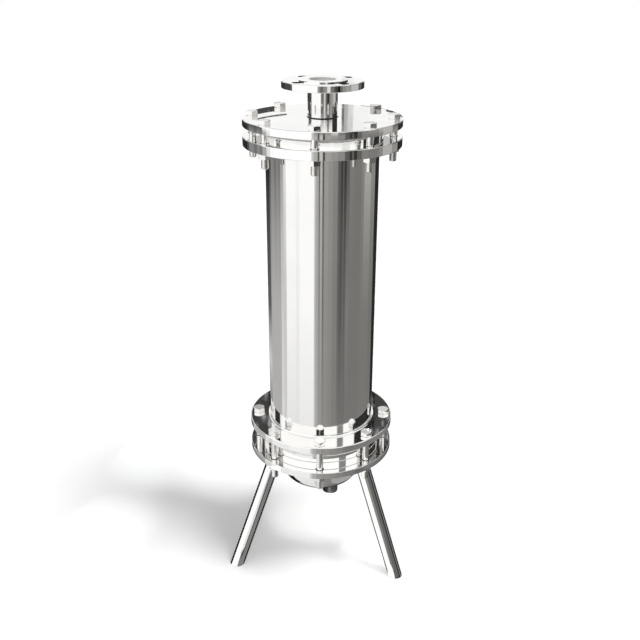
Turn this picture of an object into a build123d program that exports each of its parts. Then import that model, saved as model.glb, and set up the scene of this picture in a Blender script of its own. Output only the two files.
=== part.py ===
"""Filter housing: a polished shell between two bolted flange joints, on three splayed tube legs.

Origin on the vessel's axis at floor level, +Z up, front towards -Y. Millimetres and degrees.
"""
import os
from math import atan2, cos, degrees, radians, sin, sqrt, tan

from build123d import *

# Shell
shell_d = 219.0
shell_wall = 3.0
shell_exposed = 584.0  # length seen between the two flange plates

# Flange plates, from the floor up
base_height = 270.0  # floor to the underside of the base flange
base_plate_t = 14.0
base_face_t = 8.0  # raised face of the base flange
sheet_t = 14.0
lower_face_t = 19.0  # raised face under the shell's lower flange
lower_plate_t = 15.0
upper_plate_t = 18.0
upper_face_t = 8.0  # raised face on the shell's upper flange
cover_face_t = 8.0  # raised face under the cover
cover_plate_t = 14.0
base_gasket_t = 2.0
cover_gasket_t = 3.0
base_face_w = 15.5  # radial width of the lower joint's faces outside the shell
cover_face_w = 6.5  # radial width of the upper joint's faces outside the shell
gasket_inset = 0.8  # gaskets stop this far inside the face's edge
rim_chamfer = 1.2
pocket_floor_t = 10.0  # plate left under the clean-water pocket of the base flange

# Bolting
bolt_count = 8
bolt_d = 14.0
bolt_hole_d = 15.5
bolt_face_gap = 3.0  # bolt shank to the edge of the lower joint's faces
bolt_rim = 17.0  # bolt circle to the flange's edge
hex_flats = 22.0
hex_end_ratio = 0.95  # flat end of a head or nut over its width across flats
hex_end_slope = 30.0  # chamfer of that end against the flat
head_h = 8.8
nut_h = 11.0
cover_bolt_tail = 18.0  # thread past the nut
base_bolt_tail = 20.0
thread_chamfer = 1.0
base_bolt_turn = 5.0  # base bolt pattern against the cover's, about the axis
wrench_step = 17.0  # each hex is left at its own angle

# Inlet on the cover
inlet_d = 57.0
inlet_wall = 3.0
inlet_exposed = 54.0  # cover to the underside of the inlet flange
inlet_flange_d = 155.0
inlet_plate_t = 13.0
inlet_face_d = 96.0
inlet_face_t = 2.0
inlet_bolt_circle_d = 120.0
inlet_bolt_hole_d = 19.0
inlet_bolt_count = 4

# Dished bottom and outlet
dish_wall = 3.0
dish_skirt = 54.0  # straight part below the base flange
crown_ratio = 0.8  # crown radius over the dish's diameter
knuckle_ratio = 0.154  # knuckle radius over the dish's diameter
outlet_d = 25.0
outlet_wall = 2.0
outlet_offset = 25.0  # outlet's axis to the vessel's axis
outlet_drop = 33.0  # lowest point of the dish to the outlet's end
outlet_bead_h = 13.0
outlet_bead_w = 1.2  # bead past the tube's outside
outlet_bead_round = 1.0  # upper edge of the bead
outlet_end_round = 2.6  # lower edge of the bead
outlet_reach = 6.0  # tube inside the dish above its lowest point

# Legs
leg_d = 30.0
leg_wall = 2.0
leg_splay = 20.5
leg_count = 3
leg_gap = 0.5  # leg to the dish's weld
leg_nut_gap = 3.3  # leg's head to the nuts of the base bolts

# Welds
shell_weld = 5.0
inlet_weld = 3.5
dish_weld = 2.5
weld_hollow = 1 - sqrt(0.5)  # middle of a weld's quarter-round face, as a share of its leg

# Filter cartridges and their clamp
cartridge_count = 5
cartridge_cap_d = 66.0
cartridge_body_d = 62.0
cartridge_length = 508.0
cartridge_cap_h = 18.0
cartridge_collar_h = 12.0
cartridge_core_d = 26.0
cartridge_gap = 5.5  # cartridge cap to the shell's inside
spigot_d = 43.0
spigot_hole_d = 44.0
spigot_length = 22.0
seal_w = 4.0
seal_depth = 3.0
seal_pitch = 5.5
spear_d = 20.0
spear_h = 34.0
spear_clearance = 1.0
clamp_t = 4.0
clamp_gap = 10.0  # clamp plate to the shell's inside
rod_d = 12.0
rod_clearance = 0.5
rod_tail = 12.0  # thread past the clamp nut
rod_nut_flats = 19.0
rod_nut_h = 10.0

# Radii worked out from the sizes above
shell_r = shell_d / 2
bore_r = shell_r - shell_wall
cover_face_r = shell_r + cover_face_w
base_face_r = shell_r + base_face_w
bolt_circle_r = base_face_r + bolt_face_gap + bolt_d / 2
flange_r = bolt_circle_r + bolt_rim
inlet_r = inlet_d / 2
hex_r = hex_flats / 2 / cos(radians(30))
leg_half_w = leg_d / 2 / cos(radians(leg_splay))  # half the leg's cut end, along the radius
leg_top_r = bolt_circle_r - hex_r - leg_nut_gap - leg_half_w
leg_foot_r = leg_top_r + base_height * tan(radians(leg_splay))
dish_r = leg_top_r - leg_half_w - leg_gap - dish_weld

# Heights worked out from the sizes above
base_plate_top = base_height + base_plate_t
base_face_top = base_plate_top + base_face_t
sheet_bottom = base_face_top + base_gasket_t
sheet_top = sheet_bottom + sheet_t
lower_face_bottom = sheet_top + base_gasket_t
lower_plate_bottom = lower_face_bottom + lower_face_t
lower_plate_top = lower_plate_bottom + lower_plate_t
upper_plate_bottom = lower_plate_top + shell_exposed
upper_plate_top = upper_plate_bottom + upper_plate_t
upper_face_top = upper_plate_top + upper_face_t
cover_face_bottom = upper_face_top + cover_gasket_t
cover_plate_bottom = cover_face_bottom + cover_face_t
cover_top = cover_plate_bottom + cover_plate_t
inlet_plate_bottom = cover_top + inlet_exposed
inlet_plate_top = inlet_plate_bottom + inlet_plate_t
inlet_top = inlet_plate_top + inlet_face_t

front = -90.0  # the front's direction in polar angles
same_radius = 0.01  # radii closer than this count as one

os.makedirs("parts", exist_ok=True)


def save(piece, name):
    """Label a finished piece and write it to its own file."""
    piece.part.label = name
    export_step(piece.part, f"parts/{name}.step")


def rim_edges(piece, radius):
    """Round edges of a piece that lie at the given radius."""
    rounds = piece.edges().filter_by(GeomType.CIRCLE)
    return rounds.filter_by(lambda edge: abs(edge.radius - radius) < same_radius)


def plate_with_face(outer_r, plate_low, plate_t, face_r, face_low, face_t):
    """Turned flange blank: a chamfered plate with a raised face above or below it."""
    with BuildPart() as blank:
        with BuildSketch(Plane.XY.offset(plate_low)):
            Circle(outer_r)
        extrude(amount=plate_t)
        chamfer(rim_edges(blank, outer_r), rim_chamfer)
        with BuildSketch(Plane.XY.offset(face_low)):
            Circle(face_r)
        extrude(amount=face_t)
    return blank


def fillet_weld(tube_r, height, leg):
    """Concave weld round a tube, standing on a plate at height; a negative leg hangs below it."""
    size = abs(leg)
    with BuildPart() as weld:
        with BuildSketch(Plane.XZ):
            with BuildLine():
                Polyline((tube_r, height + leg), (tube_r, height), (tube_r + size, height))
                ThreePointArc(
                    (tube_r + size, height),
                    (tube_r + size * weld_hollow, height + leg * weld_hollow),
                    (tube_r, height + leg),
                )
            make_face()
        revolve(axis=Axis.Z)
    return weld


def fastener_plane(count, step, turn, height):
    """Plane at one bolt's place on the bolt circle, its X axis turned as the hex is left."""
    angle = front + turn + 360.0 / count * step
    wrench = angle + wrench_step * step
    return Plane(
        origin=(bolt_circle_r * cos(radians(angle)), bolt_circle_r * sin(radians(angle)), height),
        x_dir=(cos(radians(wrench)), sin(radians(wrench)), 0),
        z_dir=(0, 0, 1),
    )


def hex_bolt(seat, length):
    """Hex head bolt with its head's underside on the seat plane and its shank below."""
    end_r = hex_end_ratio * hex_flats / 2
    with BuildPart(seat) as bolt:
        with BuildSketch(seat):
            RegularPolygon(hex_flats / 2, 6, major_radius=False)
        extrude(amount=head_h)
        Cone(
            bottom_radius=end_r + head_h / tan(radians(hex_end_slope)),
            top_radius=end_r,
            height=head_h,
            align=(Align.CENTER, Align.CENTER, Align.MIN),
            mode=Mode.INTERSECT,
        )
        with BuildSketch(seat):
            Circle(bolt_d / 2)
        extrude(amount=-length)
        tip = rim_edges(bolt, bolt_d / 2).sort_by(Axis.Z)[0]
        chamfer(tip, thread_chamfer)
    return bolt


def hex_nut(seat, flats, height, hole_d):
    """Hex nut standing on the seat plane, chamfered on its upper side and bored for the thread."""
    end_r = hex_end_ratio * flats / 2
    with BuildPart(seat) as nut:
        with BuildSketch(seat):
            RegularPolygon(flats / 2, 6, major_radius=False)
        extrude(amount=height)
        Cone(
            bottom_radius=end_r + height / tan(radians(hex_end_slope)),
            top_radius=end_r,
            height=height,
            align=(Align.CENTER, Align.CENTER, Align.MIN),
            mode=Mode.INTERSECT,
        )
        with BuildSketch(seat):
            Circle(hole_d / 2)
        extrude(amount=height, mode=Mode.SUBTRACT)
    return nut


def bolt_holes(plate_top, plate_t, turn):
    """Clearance holes through a flange plate on the bolt circle, in the part being built."""
    with Locations(Plane.XY.offset(plate_top)):
        with PolarLocations(bolt_circle_r, bolt_count, start_angle=front + turn):
            Hole(bolt_hole_d / 2, depth=plate_t)


def flange_ring(outer_r, inner_r, low, thickness):
    """Flat ring, such as a gasket."""
    with BuildPart() as ring:
        with BuildSketch(Plane.XY.offset(low)):
            Circle(outer_r)
            Circle(inner_r, mode=Mode.SUBTRACT)
        extrude(amount=thickness)
    return ring


# Shell: rolled tube, flush with the outer faces of both of its flanges
with BuildPart() as shell_tube:
    with BuildSketch(Plane.XY.offset(lower_face_bottom)):
        Circle(shell_r)
        Circle(bore_r, mode=Mode.SUBTRACT)
    extrude(amount=upper_face_top - lower_face_bottom)
save(shell_tube, "shell_tube")

# Shell's upper flange: raised face on top, weld below round the shell
upper_blank = plate_with_face(
    flange_r, upper_plate_bottom, upper_plate_t, cover_face_r, upper_plate_top, upper_face_t
)
with BuildPart() as body_top_flange:
    add(upper_blank.part)
    bolt_holes(upper_plate_top, upper_plate_t, 0)
    with BuildSketch(Plane.XY.offset(upper_plate_bottom)):
        Circle(shell_r)
    extrude(amount=upper_plate_t + upper_face_t, mode=Mode.SUBTRACT)
    add(fillet_weld(shell_r, upper_plate_bottom, -shell_weld).part)
save(body_top_flange, "body_top_flange")

# Shell's lower flange: raised face below, weld on top round the shell
lower_blank = plate_with_face(
    flange_r, lower_plate_bottom, lower_plate_t, base_face_r, lower_face_bottom, lower_face_t
)
with BuildPart() as body_bottom_flange:
    add(lower_blank.part)
    bolt_holes(lower_plate_top, lower_plate_t, base_bolt_turn)
    with BuildSketch(Plane.XY.offset(lower_face_bottom)):
        Circle(shell_r)
    extrude(amount=lower_face_t + lower_plate_t, mode=Mode.SUBTRACT)
    add(fillet_weld(shell_r, lower_plate_top, shell_weld).part)
save(body_bottom_flange, "body_bottom_flange")

# Cover: blind flange bored for the inlet pipe
cover_blank = plate_with_face(
    flange_r, cover_plate_bottom, cover_plate_t, cover_face_r, cover_face_bottom, cover_face_t
)
with BuildPart() as cover_plate:
    add(cover_blank.part)
    bolt_holes(cover_top, cover_plate_t, 0)
    with BuildSketch(Plane.XY.offset(cover_face_bottom)):
        Circle(inlet_r)
    extrude(amount=cover_face_t + cover_plate_t, mode=Mode.SUBTRACT)
    add(fillet_weld(inlet_r, cover_top, inlet_weld).part)
save(cover_plate, "cover_plate")

# Inlet pipe: through the cover, flush with its lower face and with the flange's raised face
with BuildPart() as inlet_pipe:
    with BuildSketch(Plane.XY.offset(cover_face_bottom)):
        Circle(inlet_r)
        Circle(inlet_r - inlet_wall, mode=Mode.SUBTRACT)
    extrude(amount=inlet_top - cover_face_bottom)
save(inlet_pipe, "inlet_pipe")

# Inlet flange: raised face on top, four holes that straddle the front
inlet_blank = plate_with_face(
    inlet_flange_d / 2, inlet_plate_bottom, inlet_plate_t, inlet_face_d / 2, inlet_plate_top, inlet_face_t
)
with BuildPart() as inlet_flange:
    add(inlet_blank.part)
    with Locations(Plane.XY.offset(inlet_plate_top)):
        with PolarLocations(
            inlet_bolt_circle_d / 2, inlet_bolt_count, start_angle=front + 180.0 / inlet_bolt_count
        ):
            Hole(inlet_bolt_hole_d / 2, depth=inlet_plate_t)
    with BuildSketch(Plane.XY.offset(inlet_plate_bottom)):
        Circle(inlet_r)
    extrude(amount=inlet_plate_t + inlet_face_t, mode=Mode.SUBTRACT)
    add(fillet_weld(inlet_r, inlet_plate_bottom, -inlet_weld).part)
save(inlet_flange, "inlet_flange")

# Gaskets of the two joints, cut to the shell's bore
cover_gasket = flange_ring(cover_face_r - gasket_inset, bore_r, upper_face_top, cover_gasket_t)
save(cover_gasket, "cover_gasket")
sheet_gasket = flange_ring(base_face_r - gasket_inset, bore_r, sheet_top, base_gasket_t)
save(sheet_gasket, "sheet_gasket")
base_gasket = flange_ring(base_face_r - gasket_inset, bore_r, base_face_top, base_gasket_t)
save(base_gasket, "base_gasket")

# Base flange: ring plate with a pocket under the tube sheet, bored for the dished bottom
base_blank = plate_with_face(
    flange_r, base_height, base_plate_t, base_face_r, base_plate_top, base_face_t
)
pocket_floor = base_height + pocket_floor_t
with BuildPart() as base_flange:
    add(base_blank.part)
    bolt_holes(base_plate_top, base_plate_t, base_bolt_turn)
    with BuildSketch(Plane.XY.offset(pocket_floor)):
        Circle(bore_r)
    extrude(amount=base_face_top - pocket_floor, mode=Mode.SUBTRACT)
    with BuildSketch(Plane.XY.offset(base_height)):
        Circle(dish_r)
    extrude(amount=pocket_floor_t, mode=Mode.SUBTRACT)
    add(fillet_weld(dish_r, base_height, -dish_weld).part)
save(base_flange, "base_flange")

# Dished bottom: straight skirt, knuckle and crown, with a hole for the outlet tube
crown_r = crown_ratio * 2 * dish_r
knuckle_r = knuckle_ratio * 2 * dish_r
knuckle_x = dish_r - knuckle_r
knuckle_z = base_height - dish_skirt
crown_z = knuckle_z + sqrt((crown_r - knuckle_r) ** 2 - knuckle_x**2)
turn_angle = degrees(atan2(knuckle_z - crown_z, knuckle_x))
dish_bottom = crown_z - crown_r
with BuildPart() as dished_bottom:
    with BuildSketch(Plane.XZ):
        with BuildLine():
            for depth in (0, dish_wall):
                Line((dish_r - depth, pocket_floor), (dish_r - depth, knuckle_z))
                CenterArc((knuckle_x, knuckle_z), knuckle_r - depth, 0, turn_angle)
                CenterArc((0, crown_z), crown_r - depth, -90, 90 + turn_angle)
            Line((dish_r, pocket_floor), (dish_r - dish_wall, pocket_floor))
            Line((0, dish_bottom), (0, dish_bottom + dish_wall))
        make_face()
    revolve(axis=Axis.Z)
    with BuildSketch(Plane.XY.offset(dish_bottom)):
        with Locations((outlet_offset, 0)):
            Circle(outlet_d / 2)
    extrude(amount=base_height - dish_bottom, mode=Mode.SUBTRACT)
save(dished_bottom, "dished_bottom")

# Outlet: tube through the dish, with a rolled bead at its lower end
outlet_end = dish_bottom - outlet_drop
outlet_plane = Plane.XY.offset(outlet_end)
with BuildPart() as outlet_spigot:
    with BuildSketch(outlet_plane):
        with Locations((outlet_offset, 0)):
            Circle(outlet_d / 2)
    extrude(amount=outlet_drop + outlet_reach)
    with BuildSketch(outlet_plane):
        with Locations((outlet_offset, 0)):
            Circle(outlet_d / 2 + outlet_bead_w)
    extrude(amount=outlet_bead_h)
    bead_r = outlet_d / 2 + outlet_bead_w
    fillet(rim_edges(outlet_spigot, bead_r).sort_by(Axis.Z)[0], outlet_end_round)
    fillet(rim_edges(outlet_spigot, bead_r).sort_by(Axis.Z)[-1], outlet_bead_round)
    with BuildSketch(outlet_plane):
        with Locations((outlet_offset, 0)):
            Circle(outlet_d / 2 - outlet_wall)
    extrude(amount=outlet_drop + outlet_reach, mode=Mode.SUBTRACT)
save(outlet_spigot, "outlet_spigot")

# Legs: round tubes, cut level at the base flange and at the floor
for step in range(leg_count):
    angle = radians(front + 180.0 + 360.0 / leg_count * step)
    foot = Vector(leg_foot_r * cos(angle), leg_foot_r * sin(angle), 0)
    head = Vector(leg_top_r * cos(angle), leg_top_r * sin(angle), base_height)
    along = (head - foot).normalized()
    spare = leg_d
    with BuildPart() as leg:
        with BuildSketch(Plane(origin=foot - along * spare, z_dir=along)):
            Circle(leg_d / 2)
            Circle(leg_d / 2 - leg_wall, mode=Mode.SUBTRACT)
        extrude(amount=(head - foot).length + 2 * spare)
        split(bisect_by=Plane.XY, keep=Keep.TOP)
        split(bisect_by=Plane.XY.offset(base_height), keep=Keep.BOTTOM)
    save(leg, f"leg_{step + 1}")

# Cover bolts from above, with their nuts under the shell's upper flange
cover_bolt_length = cover_top - upper_plate_bottom + nut_h + cover_bolt_tail
for step in range(bolt_count):
    seat = fastener_plane(bolt_count, step, 0, cover_top)
    save(hex_bolt(seat, cover_bolt_length), f"cover_bolt_{step + 1}")
    under = fastener_plane(bolt_count, step, 0, upper_plate_bottom).rotated((180, 0, 0))
    save(hex_nut(under, hex_flats, nut_h, bolt_d), f"cover_nut_{step + 1}")

# Base bolts from above the shell's lower flange, with their nuts under the base flange
base_bolt_length = lower_plate_top - base_height + nut_h + base_bolt_tail
for step in range(bolt_count):
    seat = fastener_plane(bolt_count, step, base_bolt_turn, lower_plate_top)
    save(hex_bolt(seat, base_bolt_length), f"base_bolt_{step + 1}")
    under = fastener_plane(bolt_count, step, base_bolt_turn, base_height).rotated((180, 0, 0))
    save(hex_nut(under, hex_flats, nut_h, bolt_d), f"base_nut_{step + 1}")

# Tube sheet: carries the cartridges' spigots and the clamp rod
cartridge_circle_r = bore_r - cartridge_gap - cartridge_cap_d / 2
with BuildPart() as tube_sheet:
    with BuildSketch(Plane.XY.offset(sheet_bottom)):
        Circle(base_face_r)
        Circle(rod_d / 2, mode=Mode.SUBTRACT)
        with PolarLocations(cartridge_circle_r, cartridge_count, start_angle=front):
            Circle(spigot_hole_d / 2, mode=Mode.SUBTRACT)
    extrude(amount=sheet_t)
save(tube_sheet, "tube_sheet")

# Cartridges: capped cylinders on a sealed spigot, with a locating spear on top
cartridge_top = sheet_top + cartridge_length
collar_low = (sheet_top + cartridge_top - cartridge_collar_h) / 2
groove_heights = [sheet_top - sheet_t / 2 + side * seal_pitch / 2 - seal_w / 2 for side in (-1, 1)]
for step in range(cartridge_count):
    angle = front + 360.0 / cartridge_count * step
    x = cartridge_circle_r * cos(radians(angle))
    y = cartridge_circle_r * sin(radians(angle))
    stages = (
        (sheet_top - spigot_length, spigot_length, spigot_d),
        (sheet_top, cartridge_length, cartridge_body_d),
        (sheet_top, cartridge_cap_h, cartridge_cap_d),
        (collar_low, cartridge_collar_h, cartridge_cap_d),
        (cartridge_top - cartridge_cap_h, cartridge_cap_h, cartridge_cap_d),
        (cartridge_top, spear_h, spear_d),
    )
    with BuildPart() as cartridge:
        for low, height, diameter in stages:
            with BuildSketch(Plane((x, y, low))):
                Circle(diameter / 2)
            extrude(amount=height)
        tip = rim_edges(cartridge, spear_d / 2).sort_by(Axis.Z)[-1]
        chamfer(tip, spear_d / 4)
        with BuildSketch(Plane((x, y, sheet_top - spigot_length))):
            Circle(cartridge_core_d / 2)
        extrude(amount=spigot_length + cartridge_length - cartridge_cap_h, mode=Mode.SUBTRACT)
        for groove in groove_heights:
            with BuildSketch(Plane((x, y, groove))):
                Circle(spigot_d / 2)
                Circle(spigot_hole_d / 2 - seal_depth, mode=Mode.SUBTRACT)
            extrude(amount=seal_w, mode=Mode.SUBTRACT)
    save(cartridge, f"cartridge_{step + 1}")

# Spigot seals: two rings in the grooves of each cartridge
with BuildPart() as spigot_seals:
    for groove in groove_heights:
        with BuildSketch(Plane.XY.offset(groove)):
            with PolarLocations(cartridge_circle_r, cartridge_count, start_angle=front):
                Circle(spigot_hole_d / 2)
                Circle(spigot_hole_d / 2 - seal_depth, mode=Mode.SUBTRACT)
        extrude(amount=seal_w)
save(spigot_seals, "spigot_seals")

# Clamp: plate on the cartridges' shoulders, drawn down by the rod and its nut
clamp_top = cartridge_top + clamp_t
with BuildPart() as clamp_plate:
    with BuildSketch(Plane.XY.offset(cartridge_top)):
        Circle(bore_r - clamp_gap)
        Circle(rod_d / 2 + rod_clearance, mode=Mode.SUBTRACT)
        with PolarLocations(cartridge_circle_r, cartridge_count, start_angle=front):
            Circle(spear_d / 2 + spear_clearance, mode=Mode.SUBTRACT)
    extrude(amount=clamp_t)
save(clamp_plate, "clamp_plate")

with BuildPart() as clamp_rod:
    with BuildSketch(Plane.XY.offset(sheet_bottom)):
        Circle(rod_d / 2)
    extrude(amount=clamp_top + rod_nut_h + rod_tail - sheet_bottom)
    chamfer(rim_edges(clamp_rod, rod_d / 2), thread_chamfer)
save(clamp_rod, "clamp_rod")

save(hex_nut(Plane.XY.offset(clamp_top), rod_nut_flats, rod_nut_h, rod_d), "clamp_nut")
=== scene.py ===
from math import atan2, cos, inf, pi, radians, sin, sqrt, tan

import bmesh
import bpy
from mathutils import Matrix, Vector


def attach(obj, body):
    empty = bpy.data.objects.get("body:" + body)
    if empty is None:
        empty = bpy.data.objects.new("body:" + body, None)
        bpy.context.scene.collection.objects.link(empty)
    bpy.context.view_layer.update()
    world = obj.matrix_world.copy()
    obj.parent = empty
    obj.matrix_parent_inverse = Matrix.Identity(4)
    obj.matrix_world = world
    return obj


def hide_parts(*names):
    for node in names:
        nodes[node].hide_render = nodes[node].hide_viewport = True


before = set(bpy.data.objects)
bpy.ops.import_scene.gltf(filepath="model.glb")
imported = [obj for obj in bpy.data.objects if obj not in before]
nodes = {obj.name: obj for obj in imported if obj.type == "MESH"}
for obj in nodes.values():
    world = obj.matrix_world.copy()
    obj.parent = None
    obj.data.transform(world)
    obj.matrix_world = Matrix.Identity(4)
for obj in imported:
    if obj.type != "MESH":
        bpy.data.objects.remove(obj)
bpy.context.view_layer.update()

# Sizes are in millimetres, from the floor up; newPiece turns a finished mesh into metres
joint = {
    "rimRadius": 152, "boltCircle": 135, "boltHole": 15.5, "boltCount": 8,
    "baseLow": 270, "baseFaceHigh": 292,
    "sheetLow": 294, "sheetHigh": 308,
    "lowerFaceLow": 310, "lowerLow": 329, "lowerHigh": 344,
    "upperLow": 928, "upperFaceHigh": 954,
    "coverFaceLow": 957, "coverLow": 965, "coverHigh": 979,
    "lowerFaceRadius": 125, "upperFaceRadius": 116, "shellRadius": 109.5, "bore": 106.5,
    "baseBoltTurn": 5,  # base bolts stand this far round from the cover's
}
inlet = {"pipeRadius": 28.5, "pipeBore": 25.5, "flangeLow": 1033, "top": 1048}
front = -90  # degrees round the axis, where every ring of bolts starts
metres = 0.001


# finishes
def newMaterial(name, metallic, roughness, colour):
    material = bpy.data.materials.new(name)
    material.use_nodes = True
    tree = material.node_tree
    surface = tree.nodes["Principled BSDF"]
    surface.inputs["Metallic"].default_value = metallic
    surface.inputs["Roughness"].default_value = roughness
    surface.inputs["Base Color"].default_value = (*colour, 1)
    return material, tree, surface


def spotsOf(tree):
    return tree.nodes.new("ShaderNodeTexCoord").outputs["Object"]


def noiseOf(tree, source, scale, detail=2, stretch=(1, 1, 1)):
    mapping = tree.nodes.new("ShaderNodeMapping")
    mapping.inputs["Scale"].default_value = stretch
    tree.links.new(source, mapping.inputs["Vector"])
    noise = tree.nodes.new("ShaderNodeTexNoise")
    noise.inputs["Scale"].default_value = scale
    noise.inputs["Detail"].default_value = detail
    tree.links.new(mapping.outputs["Vector"], noise.inputs["Vector"])
    return noise.outputs["Fac"]


def spread(tree, source, low, high, fromLow=0.3, fromHigh=0.7):
    span = tree.nodes.new("ShaderNodeMapRange")
    span.inputs["From Min"].default_value = fromLow
    span.inputs["From Max"].default_value = fromHigh
    span.inputs["To Min"].default_value = low
    span.inputs["To Max"].default_value = high
    tree.links.new(source, span.inputs["Value"])
    return span.outputs["Result"]


def colourRamp(tree, source, stops):
    ramp = tree.nodes.new("ShaderNodeValToRGB")
    points = ramp.color_ramp.elements
    while len(points) < len(stops):
        points.new(0.5)
    for point, (position, colour) in zip(points, stops):
        point.position = position
        point.color = (*colour, 1)
    tree.links.new(source, ramp.inputs["Fac"])
    return ramp.outputs["Color"]


def bumpFrom(tree, height, distance, under=None):
    bump = tree.nodes.new("ShaderNodeBump")
    bump.inputs["Strength"].default_value = 1
    bump.inputs["Distance"].default_value = distance
    tree.links.new(height, bump.inputs["Height"])
    if under:
        tree.links.new(under, bump.inputs["Normal"])
    return bump.outputs["Normal"]


def roundTheAxis(tree, spots):
    # radius and height only, so that a pattern runs in rings as on turned work
    parts = tree.nodes.new("ShaderNodeSeparateXYZ")
    tree.links.new(spots, parts.inputs["Vector"])
    flat = tree.nodes.new("ShaderNodeCombineXYZ")
    tree.links.new(parts.outputs["X"], flat.inputs["X"])
    tree.links.new(parts.outputs["Y"], flat.inputs["Y"])
    radius = tree.nodes.new("ShaderNodeVectorMath")
    radius.operation = "LENGTH"
    tree.links.new(flat.outputs["Vector"], radius.inputs[0])
    rings = tree.nodes.new("ShaderNodeCombineXYZ")
    tree.links.new(radius.outputs["Value"], rings.inputs["X"])
    tree.links.new(parts.outputs["Z"], rings.inputs["Z"])
    return rings.outputs["Vector"]


# the noises behind every steel: their detail, and the part of their range that the two ends are laid on
steelNoise = {
    "toneDetail": 3, "toneLow": 0.35, "toneHigh": 0.65,
    "smudgeDetail": 5, "smudgeLow": 0.42, "smudgeHigh": 0.75, "waveDetail": 1, "lineDetail": 2,
}
steelLooks = {
    "shellSteel": {
        "light": (0.87, 0.865, 0.85), "dark": (0.83, 0.825, 0.81), "toneScale": 9,
        "roughness": 0.065, "smudge": 0.04, "smudgeScale": 30,
        "wave": 0.00022, "waveScale": 4, "waveStretch": (1, 1, 0.12),
        "lines": "rings", "lineScale": 900, "lineDepth": 0.0000015,
    },
    "flangeSteel": {
        "light": (0.93, 0.927, 0.915), "dark": (0.89, 0.886, 0.872), "toneScale": 20,
        "roughness": 0.035, "smudge": 0.03, "smudgeScale": 45,
        "wave": 0.00008, "waveScale": 14, "waveStretch": (1, 1, 1),
        "lines": "rings", "lineScale": 1100, "lineDepth": 0.0000015,
    },
    "dishSteel": {
        "light": (0.86, 0.855, 0.84), "dark": (0.80, 0.795, 0.78), "toneScale": 25,
        "roughness": 0.10, "smudge": 0.06, "smudgeScale": 40,
        "wave": 0.0001, "waveScale": 14, "waveStretch": (1, 1, 1),
        "lines": "rings", "lineScale": 800, "lineDepth": 0.000002,
    },
    "legSteel": {
        "light": (0.86, 0.855, 0.84), "dark": (0.81, 0.805, 0.79), "toneScale": 25,
        "roughness": 0.08, "smudge": 0.06, "smudgeScale": 60,
        "wave": 0.00004, "waveScale": 16, "waveStretch": (1, 1, 0.3),
        "lines": (1, 1, 0.04), "lineScale": 1400, "lineDepth": 0.000002,
    },
    "boltSteel": {
        "light": (0.88, 0.87, 0.85), "dark": (0.80, 0.79, 0.77), "toneScale": 60,
        "roughness": 0.10, "smudge": 0.10, "smudgeScale": 160,
        "wave": 0.00003, "waveScale": 120, "waveStretch": (1, 1, 1),
        "lines": (1, 1, 1), "lineScale": 1600, "lineDepth": 0.000003,
    },
    "headSteel": {
        "light": (0.95, 0.945, 0.93), "dark": (0.90, 0.895, 0.88), "toneScale": 90, "metallic": 0.55,
        "roughness": 0.22, "smudge": 0.08, "smudgeScale": 120,
        "wave": 0.00001, "waveScale": 90, "waveStretch": (1, 1, 1),
        "lines": "rings", "lineScale": 2200, "lineDepth": 0.000002,
    },
    "outletSteel": {
        "light": (0.30, 0.295, 0.285), "dark": (0.20, 0.197, 0.19), "toneScale": 90,
        "roughness": 0.36, "smudge": 0.14, "smudgeScale": 120,
        "wave": 0.00005, "waveScale": 60, "waveStretch": (1, 1, 1),
        "lines": (1, 1, 1), "lineScale": 1500, "lineDepth": 0.00001,
    },
    # near-black steel, painted shade: it darkens the walls of the flanges' bolt holes and makes the cover's
    # weld a black ring round the inlet pipe's foot
    "shadePaintedSteel": {
        "light": (0.04, 0.039, 0.038), "dark": (0.02, 0.0195, 0.019), "toneScale": 120,
        "roughness": 0.35, "smudge": 0.15, "smudgeScale": 150,
        "wave": 0.00004, "waveScale": 90, "waveStretch": (1, 1, 1),
        "lines": "rings", "lineScale": 1500, "lineDepth": 0.00001,
    },
    "boreSteel": {
        "light": (0.93, 0.926, 0.915), "dark": (0.86, 0.855, 0.84), "toneScale": 40,
        "roughness": 0.58, "smudge": 0.10, "smudgeScale": 60,
        "wave": 0.00005, "waveScale": 30, "waveStretch": (1, 1, 1),
        "lines": (1, 1, 0.05), "lineScale": 1200, "lineDepth": 0.000006,
    },
}


def polishedSteel(name, look):
    rough = look["roughness"]
    material, tree, surface = newMaterial(name, look.get("metallic", 1), rough, look["light"])
    spots = spotsOf(tree)
    tone = noiseOf(tree, spots, look["toneScale"], steelNoise["toneDetail"])
    stops = [(steelNoise["toneLow"], look["dark"]), (steelNoise["toneHigh"], look["light"])]
    tree.links.new(colourRamp(tree, tone, stops), surface.inputs["Base Color"])
    smudge = noiseOf(tree, spots, look["smudgeScale"], steelNoise["smudgeDetail"])
    cut = (steelNoise["smudgeLow"], steelNoise["smudgeHigh"])
    tree.links.new(spread(tree, smudge, rough, rough + look["smudge"], *cut), surface.inputs["Roughness"])
    sweep = noiseOf(tree, spots, look["waveScale"], steelNoise["waveDetail"], look["waveStretch"])
    if look["lines"] == "rings":
        lines = noiseOf(tree, roundTheAxis(tree, spots), look["lineScale"], steelNoise["lineDetail"])
    else:
        lines = noiseOf(tree, spots, look["lineScale"], steelNoise["lineDetail"], look["lines"])
    normal = bumpFrom(tree, lines, look["lineDepth"], bumpFrom(tree, sweep, look["wave"]))
    tree.links.new(normal, surface.inputs["Normal"])
    return material


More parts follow.
